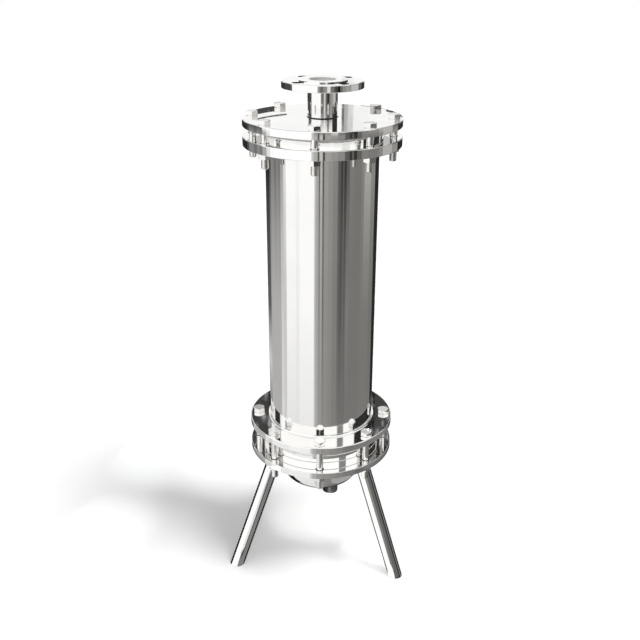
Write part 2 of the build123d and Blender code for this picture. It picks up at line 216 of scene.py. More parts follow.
# gasket, seals and cartridges: a cloud of two colours, under a grain or the cartridges' ribs
plainLooks = {
    "gasketSilicone": {
        "colour": (0.90, 0.895, 0.88), "roughness": 0.45, "subsurface": 0.1, "subsurfaceReach": 0.002,
        "cloudScale": 60, "cloud": [(0.3, (0.84, 0.835, 0.815)), (0.7, (0.90, 0.895, 0.88))],
        "grainScale": 900, "grainDetail": 3, "relief": 0.00004,
    },
    "sealRubber": {
        "colour": (0.018, 0.018, 0.02), "roughness": 0.5, "wornRoughness": (0.42, 0.6),
        "cloudScale": 120, "cloud": [(0.35, (0.018, 0.018, 0.02)), (0.7, (0.035, 0.035, 0.036))],
        "grainScale": 1500, "grainDetail": 2, "relief": 0.00003,
    },
    "cartridgePlastic": {
        "colour": (0.83, 0.83, 0.81), "roughness": 0.45,
        "cloudScale": 80, "cloud": [(0.3, (0.74, 0.74, 0.71)), (0.7, (0.83, 0.83, 0.81))],
        "ribScale": 42, "relief": 0.0006,
    },
}


def plainFinish(name, look):
    material, tree, surface = newMaterial(name, 0, look["roughness"], look["colour"])
    spots = spotsOf(tree)
    cloud = noiseOf(tree, spots, look["cloudScale"], 4)
    tree.links.new(colourRamp(tree, cloud, look["cloud"]), surface.inputs["Base Color"])
    if "subsurface" in look:
        surface.inputs["Subsurface Weight"].default_value = look["subsurface"]
        surface.inputs["Subsurface Radius"].default_value = (look["subsurfaceReach"],) * 3
    if "wornRoughness" in look:
        tree.links.new(spread(tree, cloud, *look["wornRoughness"]), surface.inputs["Roughness"])
    if "ribScale" in look:
        ribs = tree.nodes.new("ShaderNodeTexWave")
        ribs.wave_type = "BANDS"
        ribs.bands_direction = "Z"
        ribs.inputs["Scale"].default_value = look["ribScale"]
        tree.links.new(spots, ribs.inputs["Vector"])
        height = ribs.outputs["Fac"]
    else:
        height = noiseOf(tree, spots, look["grainScale"], look["grainDetail"])
    tree.links.new(bumpFrom(tree, height, look["relief"]), surface.inputs["Normal"])
    return material


steel = {name: polishedSteel(name, look) for name, look in steelLooks.items()}
plain = {name: plainFinish(name, look) for name, look in plainLooks.items()}
print("materials ready:", len(bpy.data.materials))


# mesh helpers: an edge over the sharp angle is drawn sharp, and one over the corner angle may be softened
meshRules = {
    "sharp": 25, "corner": 28, "evenWeight": 90, "merge": 0.0005, "cutSlack": 0.0001,
    "levelSlack": 0.01, "reachSlack": 0.3, "turnSteps": 160, "bevelSteps": 4,
}


def newObject(name, bm, materials):
    mesh = bpy.data.meshes.new(name)
    bm.to_mesh(mesh)
    bm.free()
    for material in materials:
        mesh.materials.append(material)
    thing = bpy.data.objects.new(name, mesh)
    bpy.context.scene.collection.objects.link(thing)
    return thing


def newPiece(name, bm, materials, replaced):
    bmesh.ops.scale(bm, vec=(metres, metres, metres), verts=bm.verts)
    for face in bm.faces:
        face.smooth = True
    for edge in cornerEdges(bm, meshRules["sharp"]):
        edge.smooth = False
    piece = newObject(name, bm, materials)
    even = piece.modifiers.new("evenNormals", "WEIGHTED_NORMAL")
    even.weight = meshRules["evenWeight"]
    even.keep_sharp = True
    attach(piece, "root")
    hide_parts(*replaced)


def joinInto(bm, extra):
    mesh = bpy.data.meshes.new("extra")
    extra.to_mesh(mesh)
    extra.free()
    bm.from_mesh(mesh)
    bpy.data.meshes.remove(mesh)


def mergeAndTurnOut(bm):
    bmesh.ops.remove_doubles(bm, verts=bm.verts, dist=meshRules["merge"])
    bmesh.ops.recalc_face_normals(bm, faces=bm.faces)


def cornerEdges(bm, least=meshRules["corner"]):
    return [
        edge for edge in bm.edges
        if len(edge.link_faces) == 2 and edge.calc_face_angle(0) > radians(least)
    ]


def soften(bm, edges, size, segments=meshRules["bevelSteps"]):
    bmesh.ops.bevel(
        bm, geom=edges, offset=size, offset_type="OFFSET", affect="EDGES",
        segments=segments, profile=0.5, material=-1, clamp_overlap=True,
    )


def reach(point):
    return sqrt(point.x ** 2 + point.y ** 2)


def edgesAtReach(bm, radius, low=-inf, high=inf):
    slack = meshRules["reachSlack"]
    return [
        edge for edge in cornerEdges(bm)
        if all(abs(reach(v.co) - radius) < slack and low - slack < v.co.z < high + slack for v in edge.verts)
    ]


def atLevel(verts, height):
    return all(abs(vert.co.z - height) < meshRules["levelSlack"] for vert in verts)


def vertsOf(result):
    return [item for item in result["geom"] if isinstance(item, bmesh.types.BMVert)]


def roundSpots(count, radius, turn, height=0):
    # angle and place of each spot of a ring that starts turned from the front
    angles = [radians(front + turn + 360 / count * step) for step in range(count)]
    return [(angle, Vector((radius * cos(angle), radius * sin(angle), height))) for angle in angles]


def polyline(bm, line, closed=False):
    # a line of (radius, height) in the plane of X and Z
    verts = [bm.verts.new((radius, 0, height)) for radius, height in line]
    following = verts[1:] + verts[:1] if closed else verts[1:]
    return verts + [bm.edges.new(pair) for pair in zip(verts, following)]


def lathe(bm, line, steps=meshRules["turnSteps"], closed=True):
    # turns a line round the Z axis, closed unless it starts and ends on the axis
    bmesh.ops.spin(
        bm, geom=polyline(bm, line, closed), cent=(0, 0, 0), axis=(0, 0, 1),
        angle=2 * pi, steps=steps, use_merge=True, use_duplicate=False,
    )


def tubeOf(bm, inside, outside, low, high, steps=meshRules["turnSteps"]):
    lathe(bm, [(inside, low), (outside, low), (outside, high), (inside, high)], steps)


def circleAt(bm, radius, segments, centre=(0, 0, 0)):
    verts = bmesh.ops.create_circle(bm, cap_ends=False, segments=segments, radius=radius)["verts"]
    bmesh.ops.translate(bm, vec=centre, verts=verts)
    # a dictionary keeps the edges in order; a set would give another mesh at each run
    return list(dict.fromkeys(edge for vert in verts for edge in vert.link_edges))


def cutSquare(bm, height, way):
    # cuts at a height, drops what lies beyond it and gives the edges left open there
    bmesh.ops.bisect_plane(
        bm, geom=bm.verts[:] + bm.edges[:] + bm.faces[:], dist=meshRules["cutSlack"],
        plane_co=(0, 0, height), plane_no=(0, 0, way), clear_outer=True,
    )
    return [edge for edge in bm.edges if edge.is_boundary and atLevel(edge.verts, height)]


# flanges, each cut from one flat sheet with its holes and then raised; the rings beside the holes have to
# stay clear of the one outside the raised face
flangeMesh = {
    "holeSteps": 36, "insideRim": 3, "outsideFace": 0.4, "outsideLip": 0.2,
    "faceRound": 0.15, "ringSlack": 0.1, "uprightUnder": 0.98,
}


def flangeBlank(sizes):
    # flat sheet of rings with its bolt holes, raised to a plate, then the raised face pulled out of it
    bm = bmesh.new()
    steps, holeSteps = meshRules["turnSteps"], flangeMesh["holeSteps"]
    holeRadius = sizes["hole"] / 2
    centres = [centre for angle, centre in roundSpots(sizes["holes"], sizes["circle"], sizes["turn"])]
    rim = circleAt(bm, sizes["rim"], steps)
    rimInside = circleAt(bm, sizes["rim"] - flangeMesh["insideRim"], steps)
    faceOutside = circleAt(bm, sizes["face"] + flangeMesh["outsideFace"], steps)
    faceRim = circleAt(bm, sizes["face"], steps)
    bore = circleAt(bm, sizes["bore"], steps)
    web = rimInside + faceOutside
    for centre in centres:
        hole = circleAt(bm, holeRadius, holeSteps, centre)
        lipOutside = circleAt(bm, holeRadius + sizes["lip"] + flangeMesh["outsideLip"], holeSteps, centre)
        bmesh.ops.bridge_loops(bm, edges=hole + lipOutside)
        web += lipOutside
    for pair in ((rim, rimInside), (faceOutside, faceRim), (faceRim, bore)):
        bmesh.ops.bridge_loops(bm, edges=pair[0] + pair[1])
    bmesh.ops.triangle_fill(bm, use_beauty=True, use_dissolve=False, edges=web)
    bmesh.ops.recalc_face_normals(bm, faces=bm.faces)
    upper = vertsOf(bmesh.ops.extrude_face_region(bm, geom=bm.faces[:]))
    bmesh.ops.translate(bm, vec=(0, 0, sizes["thick"]), verts=upper)
    level = sizes["thick"] if sizes["faceHigh"] > 0 else 0
    faceReach = sizes["face"] + flangeMesh["ringSlack"]
    ring = [f for f in bm.faces if atLevel(f.verts, level) and all(reach(v.co) < faceReach for v in f.verts)]
    pulled = vertsOf(bmesh.ops.extrude_face_region(bm, geom=ring))
    bmesh.ops.delete(bm, geom=ring, context="FACES")
    bmesh.ops.translate(bm, vec=(0, 0, sizes["faceHigh"]), verts=pulled)
    mergeAndTurnOut(bm)
    soften(bm, edgesAtReach(bm, sizes["rim"]), sizes["chamfer"])
    faceEnd = level + sizes["faceHigh"]
    soften(bm, edgesAtReach(bm, sizes["face"], faceEnd, faceEnd), flangeMesh["faceRound"])
    for centre in centres:
        lip = []
        for edge in cornerEdges(bm):
            aways = [(Vector((*v.co.xy, 0)) - centre).length for v in edge.verts]
            if all(abs(away - holeRadius) < flangeMesh["ringSlack"] for away in aways):
                lip.append(edge)
        soften(bm, lip, sizes["lip"])
        # the holes' upright walls take the second finish, the near-black painted shade
        for face in bm.faces:
            middle = Vector((*face.calc_center_median().xy, 0))
            upright = abs(face.normal.z) < flangeMesh["uprightUnder"]
            if upright and (middle - centre).length < holeRadius + sizes["lip"]:
                face.material_index = 1
    bmesh.ops.translate(bm, vec=(0, 0, sizes["low"]), verts=bm.verts)
    return bm


weldShape = {"sunk": 0.4, "arcSteps": 8, "leaningSteps": 72}


def filletWeld(bm, tubeRadius, height, leg, steps=meshRules["turnSteps"]):
    # concave polished weld in the corner of a tube and a plate; a negative leg hangs below
    size = abs(leg)
    inside = tubeRadius - weldShape["sunk"]
    behind = height - weldShape["sunk"] * leg / size
    line = [(inside, height + leg), (inside, behind), (tubeRadius + size, behind)]
    for step in range(weldShape["arcSteps"] + 1):
        angle = pi / 2 * step / weldShape["arcSteps"]
        line.append((tubeRadius + size * (1 - sin(angle)), height + leg * (1 - cos(angle))))
    lathe(bm, line, steps)


blank = {
    "rim": joint["rimRadius"], "circle": joint["boltCircle"], "hole": joint["boltHole"],
    "holes": joint["boltCount"], "lip": 1.4, "chamfer": 1.2,
}
# weld: radius of the tube, height of the corner, leg
flanges = {
    "shellUpperFlange": {
        **blank, "low": joint["upperLow"], "thick": 18, "face": joint["upperFaceRadius"], "faceHigh": 8,
        "bore": joint["shellRadius"], "turn": 0, "weld": (joint["shellRadius"], joint["upperLow"], -5),
        "node": "body_top_flange",
    },
    "shellLowerFlange": {
        **blank, "chamfer": 2, "low": joint["lowerLow"], "thick": 15,
        "face": joint["lowerFaceRadius"], "faceHigh": -19,
        "bore": joint["shellRadius"], "turn": joint["baseBoltTurn"],
        "weld": (joint["shellRadius"], joint["lowerHigh"], 5), "node": "body_bottom_flange",
    },
    "cover": {
        **blank, "low": joint["coverLow"], "thick": 14, "face": joint["upperFaceRadius"], "faceHigh": -8,
        "bore": inlet["pipeRadius"], "turn": 0,
        # the cover's weld takes the flanges' second finish, the near-black painted shade
        "weld": (inlet["pipeRadius"], joint["coverHigh"], 1.6), "weldPaintedShade": 1, "node": "cover_plate",
    },
    "inletFlange": {
        "rim": 77.5, "circle": 60, "hole": 19, "holes": 4, "lip": 0.4, "turn": 45, "chamfer": 1.2,
        "low": inlet["flangeLow"], "thick": 13, "face": 48, "faceHigh": 2, "bore": inlet["pipeRadius"],
        "weld": (inlet["pipeRadius"], inlet["flangeLow"], -3.5), "node": "inlet_flange",
    },
}
# polished flange steel, then the near-black painted shade for the bolt holes and the cover's weld
flangeFinishes = [steel["flangeSteel"], steel["shadePaintedSteel"]]
for name, sizes in flanges.items():
    bm = flangeBlank(sizes)
    weld = bmesh.new()
    filletWeld(weld, *sizes["weld"])
    mergeAndTurnOut(weld)
    for face in weld.faces:
        face.material_index = sizes.get("weldPaintedShade", 0)
    joinInto(bm, weld)
    newPiece(name, bm, flangeFinishes, [sizes["node"]])

baseRing = {
    **blank, "turn": joint["baseBoltTurn"], "low": joint["baseLow"], "thick": 14,
    "face": joint["lowerFaceRadius"], "faceHigh": 8, "bore": joint["bore"],
    "dishRadius": 83.97, "pocketFloor": 280, "weldLeg": -2.5,
}
bm = flangeBlank(baseRing)
pocket = bmesh.new()
tubeOf(pocket, baseRing["dishRadius"], baseRing["bore"], joint["baseLow"], baseRing["pocketFloor"])
filletWeld(pocket, baseRing["dishRadius"], joint["baseLow"], baseRing["weldLeg"])
mergeAndTurnOut(pocket)
joinInto(bm, pocket)
newPiece("baseFlange", bm, flangeFinishes, ["base_flange"])
print("flanges done")


# shell, inlet pipe and gaskets
tubes = {
    "shellBody": {
        "outside": joint["shellRadius"], "inside": joint["bore"], "low": joint["lowerFaceLow"],
        "high": joint["upperFaceHigh"], "steps": 256, "slot": "shell_steel", "node": "shell_tube",
    },
    "inletPipe": {
        "outside": inlet["pipeRadius"], "inside": inlet["pipeBore"], "low": joint["coverFaceLow"],
        "high": inlet["top"], "steps": 128, "slot": "flange_steel", "node": "inlet_pipe",
    },
}
tubeEdge = {"round": 0.4, "boreSlack": 0.05}
for name, sizes in tubes.items():
    bm = bmesh.new()
    tubeOf(bm, sizes["inside"], sizes["outside"], sizes["low"], sizes["high"], sizes["steps"])
    mergeAndTurnOut(bm)
    soften(bm, edgesAtReach(bm, sizes["inside"]), tubeEdge["round"])
    for face in bm.faces:
        if reach(face.calc_center_median()) < sizes["inside"] + tubeEdge["boreSlack"]:
            face.material_index = 1
    newPiece(name, bm, [steel["shellSteel"], steel["boreSteel"]], [sizes["node"]])

# the face that each gasket lies on, its foot and its top
gaskets = {
    "coverGasket": (joint["upperFaceRadius"], joint["upperFaceHigh"], joint["coverFaceLow"], "cover_gasket"),
    "sheetGasket": (joint["lowerFaceRadius"], joint["sheetHigh"], joint["lowerFaceLow"], "sheet_gasket"),
    "baseGasket": (joint["lowerFaceRadius"], joint["baseFaceHigh"], joint["sheetLow"], "base_gasket"),
}
gasketEdge = {"inset": 0.05, "round": 0.1}
for name, (faceRadius, low, high, node) in gaskets.items():
    bm = bmesh.new()
    tubeOf(bm, joint["bore"], faceRadius - gasketEdge["inset"], low, high)
    mergeAndTurnOut(bm)
    soften(bm, edgesAtReach(bm, faceRadius - gasketEdge["inset"]), gasketEdge["round"])
    newPiece(name, bm, [plain["gasketSilicone"]], [node])
print("shell, inlet pipe and gaskets done")


# dished bottom, outlet and legs
dish = {
    "radius": baseRing["dishRadius"], "wall": 3, "high": baseRing["pocketFloor"], "skirt": 54,
    "crownShare": 0.8, "knuckleShare": 0.154, "knuckleSteps": 12, "crownSteps": 16, "steps": 128,
}
outlet = {
    "x": 25, "outside": 12.5, "inside": 10.5, "low": 140.264, "high": 179.26, "steps": 96,
    "bead": 13.7, "beadHigh": 13, "endRound": 2.6, "endSteps": 6, "beadRound": 1.0, "weld": 1.8,
}
crown = dish["crownShare"] * 2 * dish["radius"]
knuckle = dish["knuckleShare"] * 2 * dish["radius"]
knuckleX = dish["radius"] - knuckle
knuckleZ = joint["baseLow"] - dish["skirt"]
crownZ = knuckleZ + sqrt((crown - knuckle) ** 2 - knuckleX ** 2)


def dishLine(depth):
    # half profile from the open top down to the pole, depth inside the outer face
    meet = atan2(knuckleZ - crownZ, knuckleX)
    line = [(dish["radius"] - depth, dish["high"])]
    for step in range(dish["knuckleSteps"] + 1):
        angle = meet * step / dish["knuckleSteps"]
        line.append((knuckleX + (knuckle - depth) * cos(angle), knuckleZ + (knuckle - depth) * sin(angle)))
    for step in range(1, dish["crownSteps"] + 1):
        angle = meet + (-pi / 2 - meet) * step / dish["crownSteps"]
        line.append(((crown - depth) * cos(angle), crownZ + (crown - depth) * sin(angle)))
    line[-1] = (0, line[-1][1])
    return line


bm = bmesh.new()
lathe(bm, dishLine(0)[::-1] + dishLine(dish["wall"]), dish["steps"], closed=False)
mergeAndTurnOut(bm)
newPiece("dishedBottom", bm, [steel["dishSteel"]], ["dished_bottom"])

bm = bmesh.new()
beadTop = outlet["low"] + outlet["beadHigh"]
lathe(bm, [
    (outlet["inside"], outlet["low"]), (outlet["bead"], outlet["low"]), (outlet["bead"], beadTop),
    (outlet["outside"], beadTop), (outlet["outside"], outlet["high"]), (outlet["inside"], outlet["high"]),
], outlet["steps"])
mergeAndTurnOut(bm)
beadEnd = edgesAtReach(bm, outlet["bead"], outlet["low"], outlet["low"])
soften(bm, beadEnd, outlet["endRound"], outlet["endSteps"])
soften(bm, edgesAtReach(bm, outlet["bead"], beadTop, beadTop), outlet["beadRound"])
bmesh.ops.translate(bm, vec=(outlet["x"], 0, 0), verts=bm.verts)
newPiece("outletSpigot", bm, [steel["outletSteel"]], ["outlet_spigot"])


def leaningWeld(tubeRadius, leg, slope, matrix):
    # weld bead that hangs from a sloping surface: slope is its rise along X
    bm = bmesh.new()
    filletWeld(bm, tubeRadius, 0, leg, weldShape["leaningSteps"])
    mergeAndTurnOut(bm)
    for vert in bm.verts:
        vert.co.z += vert.co.x * slope
    bmesh.ops.transform(bm, matrix=matrix, verts=bm.verts)
    return bm


outletDrop = sqrt(crown ** 2 - outlet["x"] ** 2)  # from the crown's centre down to the dish at the outlet
outletPlace = Matrix.Translation((outlet["x"], 0, crownZ - outletDrop))
bm = leaningWeld(outlet["outside"], -outlet["weld"], outlet["x"] / outletDrop, outletPlace)
newPiece("outletWeld", bm, [steel["dishSteel"]], ["outlet_spigot"])

legs = {
    "count": 3, "turn": 180, "outside": 15, "inside": 13, "splay": 20.5, "topReach": 102.98,
    "footReach": 203.93, "top": joint["baseLow"], "spare": 40, "steps": 72, "endRound": 0.4, "weld": 1.8,
}
splay = radians(legs["splay"])
# stretches a level ring to the section of the leg at its head, and leans what lies below along the leg
alongLeg = Matrix(((1 / cos(splay), 0, -tan(splay), 0), (0, 1, 0, 0), (0, 0, 1, 0), (0, 0, 0, 1)))
feet = roundSpots(legs["count"], legs["footReach"], legs["turn"])
heads = roundSpots(legs["count"], legs["topReach"], legs["turn"], legs["top"])
for number, ((angle, foot), (_, head)) in enumerate(zip(feet, heads), 1):
    along = head - foot
    upToLeg = along.normalized().to_track_quat("Z", "Y").to_matrix().to_4x4()
    bm = bmesh.new()
    tubeOf(bm, legs["inside"], legs["outside"], -legs["spare"], along.length + legs["spare"], legs["steps"])
    bmesh.ops.transform(bm, matrix=Matrix.Translation(foot) @ upToLeg, verts=bm.verts)
    for height, way in ((0, -1), (legs["top"], 1)):
        bmesh.ops.bridge_loops(bm, edges=cutSquare(bm, height, way))
    mergeAndTurnOut(bm)
    soften(bm, [edge for edge in cornerEdges(bm) if atLevel(edge.verts, 0)], legs["endRound"])
    newPiece(f"leg{number}", bm, [steel["legSteel"]], [f"leg_{number}"])
    weldPlace = Matrix.Translation(head) @ Matrix.Rotation(angle, 4, "Z") @ alongLeg
    bm = leaningWeld(legs["outside"], -legs["weld"], 0, weldPlace)
    newPiece(f"legWeld{number}", bm, [steel["legSteel"]], [f"leg_{number}"])
print("dished bottom, outlet and legs done")


# bolts and nuts
bolt = {
    "radius": 7, "flats": 22, "head": 8.8, "washer": 0.5, "washerRadius": 10.3,
    "cone": 10.45, "coneSlope": 30, "land": 0.6, "neck": 0.4, "coverLength": 80, "baseLength": 105,
    "nut": 11, "nutMouth": 0.7, "nutMouthDepth": 0.9, "nutBore": 0.2,
    "sideCuts": 7, "wrenchStart": 30, "wrenchStep": 17,
}
thread = {
    "length": 34, "pitch": 2, "root": 6.2, "crestLow": 0.45, "crestHigh": 1.55,
    "steps": 32, "spareTurns": 3, "tip": 0.3, "merge": 0.01,
}


def pullLoop(bm, edges, radius, height):
    # extrudes a loop and lays the new one on a circle at a height; no radius keeps its own outline
    grown = bmesh.ops.extrude_edge_only(bm, edges=edges)
    for vert in vertsOf(grown):
        if radius:
            flat = Vector((vert.co.x, vert.co.y, 0)).normalized() * radius
            vert.co.x, vert.co.y = flat.x, flat.y
        vert.co.z = height
    return [item for item in grown["geom"] if isinstance(item, bmesh.types.BMEdge)]


def coneOff(edges, flatHeight, way):
    # lowers the corners to the cone that every hex is turned to
    for edge in edges:
        for vert in edge.verts:
            outside = max(0, reach(vert.co) - bolt["cone"])
            vert.co.z = flatHeight - way * outside * tan(radians(bolt["coneSlope"]))


def hexStart(bm, height):
    bmesh.ops.create_circle(bm, cap_ends=False, segments=6, radius=bolt["flats"] / 2 / cos(pi / 6))
    bmesh.ops.subdivide_edges(bm, edges=bm.edges[:], cuts=bolt["sideCuts"])
    bmesh.ops.translate(bm, vec=(0, 0, height), verts=bm.verts)
    return bm.edges[:]


def threadOn(bm, low, high):
    # one pitch of the thread's profile is spun and lifted, then cut square at both ends
    turns = int((high - low) / thread["pitch"]) + thread["spareTurns"]
    start = low - 2 * thread["pitch"]
    part = bmesh.new()
    profile = polyline(part, [
        (thread["root"], start), (bolt["radius"], start + thread["crestLow"]),
        (bolt["radius"], start + thread["crestHigh"]), (thread["root"], start + thread["pitch"]),
    ])
    bmesh.ops.spin(
        part, geom=profile, cent=(0, 0, 0), axis=(0, 0, 1), dvec=(0, 0, thread["pitch"] / thread["steps"]),
        angle=2 * pi * turns, steps=thread["steps"] * turns, use_merge=False, use_duplicate=False,
    )
    bmesh.ops.remove_doubles(part, verts=part.verts, dist=thread["merge"])
    for height, way in ((low, -1), (high, 1)):
        bmesh.ops.edgenet_fill(part, edges=cutSquare(part, height, way))
    for vert in part.verts:
        limit = thread["root"] - thread["tip"] + max(0, vert.co.z - low)  # chamfered tip
        if reach(vert.co) > limit:
            vert.co.x *= limit / reach(vert.co)
            vert.co.y *= limit / reach(vert.co)
    bmesh.ops.recalc_face_normals(part, faces=part.faces)
    joinInto(bm, part)


def hexBolt(length):
    bm = bmesh.new()
    outline = hexStart(bm, bolt["washer"])
    top = pullLoop(bm, outline, None, bolt["head"])
    coneOff(top, bolt["head"], 1)
    for radius in (bolt["cone"], bolt["cone"] - bolt["land"]):
        top = pullLoop(bm, top, radius, bolt["head"])
    bmesh.ops.edgenet_fill(bm, edges=top)
    for face in bm.faces:
        if atLevel(face.verts, bolt["head"]):
            face.material_index = 1
    threadHigh = thread["length"] - length
    under = outline
    for radius, height in (
        (bolt["washerRadius"], bolt["washer"]), (bolt["washerRadius"], 0),
        (bolt["radius"] + bolt["neck"], 0), (bolt["radius"], -bolt["neck"]), (bolt["radius"], threadHigh),
    ):
        under = pullLoop(bm, under, radius, height)
    bmesh.ops.edgenet_fill(bm, edges=under)
    mergeAndTurnOut(bm)
    threadOn(bm, -length, threadHigh)
    return bm


def hexNut():
    # stands on z 0, chamfered at both ends, with the thread's mouth countersunk
    bm = bmesh.new()
    outline = hexStart(bm, bolt["nut"] / 2)
    inside = bolt["radius"] - bolt["nutBore"]
    for way in (1, -1):
        level = bolt["nut"] / 2 * (1 + way)
        side = pullLoop(bm, outline, None, level)
        coneOff(side, level, way)
        for radius, height in (
            (bolt["cone"], level), (bolt["radius"] + bolt["nutMouth"], level),
            (inside, level - way * bolt["nutMouthDepth"]), (inside, bolt["nut"] / 2),
        ):
            side = pullLoop(bm, side, radius, height)
    mergeAndTurnOut(bm)
    return bm


def placeCopies(shape, prefix, nodePrefix, height, turn, below):
    mesh = bpy.data.meshes.new(prefix)
    shape.to_mesh(mesh)
    shape.free()
    flip = Matrix.Rotation(pi, 4, "X") if below else Matrix.Identity(4)
    finishes = [steel["boltSteel"]] if below else [steel["boltSteel"], steel["headSteel"]]
    for step, (angle, spot) in enumerate(roundSpots(joint["boltCount"], joint["boltCircle"], turn, height)):
        wrench = Matrix.Rotation(angle + radians(bolt["wrenchStart"] + bolt["wrenchStep"] * step), 4, "Z")
        bm = bmesh.new()
        bm.from_mesh(mesh)
        bmesh.ops.transform(bm, matrix=Matrix.Translation(spot) @ wrench @ flip, verts=bm.verts)
        newPiece(f"{prefix}{step + 1}", bm, finishes, [f"{nodePrefix}_{step + 1}"])
    bpy.data.meshes.remove(mesh)


baseTurn = joint["baseBoltTurn"]
placeCopies(hexBolt(bolt["coverLength"]), "coverBolt", "cover_bolt", joint["coverHigh"], 0, False)
placeCopies(hexNut(), "coverNut", "cover_nut", joint["upperLow"], 0, True)
placeCopies(hexBolt(bolt["baseLength"]), "baseBolt", "base_bolt", joint["lowerHigh"], baseTurn, False)
placeCopies(hexNut(), "baseNut", "base_nut", joint["baseLow"], baseTurn, True)
print("bolts and nuts done")


# parts kept from the solid model, with their finishes
cartridgeCount = 5
keptFinish = {
    "tube_sheet": steel["flangeSteel"],
    "clamp_plate": steel["boreSteel"],
    "clamp_rod": steel["boreSteel"],
    "clamp_nut": steel["boltSteel"],
    "spigot_seals": plain["sealRubber"],
}
for number in range(1, cartridgeCount + 1):
    keptFinish[f"cartridge_{number}"] = plain["cartridgePlastic"]
for name, finish in keptFinish.items():
    for holder in nodes[name].material_slots:
        holder.material = finish
print("kept nodes finished:", len(keptFinish))


# studio, in metres: pale floor, white surround, and the papers, cards and strips that glow only in the
# steel's mirror, as painted reflections
studio = {
    "cameraTurn": 6.0, "floorReach": 14, "paperStart": 0.02, "paperReach": 12, "paperLift": 0.0004,
    "paperRise": 3.3, "paperGlow": 1.16, "bandReach": 6, "closeGlow": 0.02, "closeFrom": 88,
    "betweenGlow": {"behindLeft": 0.55}, "sweepStep": 3, "surroundSeen": 1.0, "surroundLight": 0.62,
}
# where each glow of a paper lies, as a share of bandReach out from the middle
bands = {
    "close": 0.075, "near": 0.092, "between": 0.17, "middle": 0.25, "far": 0.625, "farEnd": 0.82,
    "distant": 0.95,
}
# papers on the floor: from and to in degrees round from the camera, then the glow near by, further out,
# far off and in the distance, which only the inlet mirrors, and the tint
papers = {
    "behindRight": (133, 170, 0.02, 0.02, 0.02, 0.03, (1, 1, 1)),
    "behindMiddle": (170, 190, 0.35, 0.45, 0.50, 0.50, (1, 1, 0.99)),
    "behindInner": (190, 200, 0.02, 0.02, 0.02, 0.03, (1, 1, 1)),
    "behindLeft": (200, 227, 0.02, 0.10, 0.02, 0.03, (1, 1, 1)),
    "leftDark": (-133, -126, 0.46, 0.38, 0.08, 0.04, (1, 1, 1)),
    "leftGrey": (-126, -112, 0.43, 0.42, 0.22, 0.06, (1, 0.99, 0.98)),
    "leftGrey2": (-112, -104, 0.43, 0.42, 0.16, 0.06, (1, 0.99, 0.98)),
    "leftGrey3": (-104, -99, 0.43, 0.42, 0.24, 0.06, (1, 0.99, 0.98)),
    "leftGrey4": (-99, -92, 0.43, 0.42, 0.18, 0.10, (1, 0.99, 0.98)),
    "leftBright": (-92, -84, 0.72, 0.60, 0.36, 0.95, (1, 1, 1)),
    "leftSoft": (-84, -77, 0.60, 0.55, 0.70, 1.0, (1, 1, 1)),
    "leftWhite": (-77, -54, 0.76, 0.92, 1.00, 1.0, (1, 1, 1)),
    "leftLine": (-54, -46, 0.76, 0.86, 0.95, 1.0, (0.99, 0.99, 1)),
    "leftWhite2": (-46, -15, 0.80, 0.96, 1.00, 1.0, (1, 1, 1)),
    "nearLight": (-15, -12, 0.55, 0.45, 0.55, 0.55, (1, 1, 0.99)),
    "nearGrey": (-12, -6.5, 0.38, 0.38, 0.40, 0.24, (1, 0.99, 0.97)),
    "nearDark": (-6.5, -4, 0.31, 0.22, 0.08, 0.13, (1, 0.99, 0.96)),
    "nearMid": (-4, 0.5, 0.29, 0.36, 0.50, 0.13, (1, 0.99, 0.95)),
    "nearLine": (0.5, 3.5, 0.27, 0.15, 0.06, 0.20, (1, 0.98, 0.95)),
    "rightBeige": (3.5, 12, 0.26, 0.275, 0.33, 0.26, (1, 0.985, 0.94)),
    "rightBeige2": (12, 21, 0.235, 0.255, 0.28, 0.68, (1, 0.985, 0.94)),
    "rightGrey": (21, 31, 0.21, 0.21, 0.235, 0.16, (1, 0.985, 0.95)),
    "rightStripe1": (31, 35, 0.19, 0.13, 0.10, 0.09, (1, 0.985, 0.96)),
    "rightStripe2": (35, 38, 0.18, 0.10, 0.09, 0.06, (1, 0.985, 0.96)),
    "rightStripe3": (38, 41.5, 0.18, 0.10, 0.035, 0.05, (1, 0.985, 0.96)),
    "rightStripe4": (41.5, 44, 0.175, 0.15, 0.12, 0.02, (1, 0.985, 0.96)),
    "rightStripe5": (44, 49, 0.17, 0.12, 0.035, 0.01, (1, 0.985, 0.96)),
    "rightOlive": (49, 56, 0.17, 0.20, 0.11, 0.14, (1, 0.985, 0.93)),
    "rightOlive2": (56, 66, 0.175, 0.175, 0.20, 0.24, (1, 0.985, 0.93)),
    "rightOlive3": (66, 85, 0.18, 0.175, 0.18, 0.30, (1, 0.985, 0.93)),
    "rightPale": (85, 93, 0.19, 0.185, 0.22, 0.46, (1, 0.99, 0.96)),
    "rightPale2": (93, 115, 0.19, 0.185, 0.38, 0.46, (1, 0.99, 0.96)),
    "rightEdge": (115, 133, 0.18, 0.165, 0.25, 0.12, (1, 0.985, 0.94)),
}
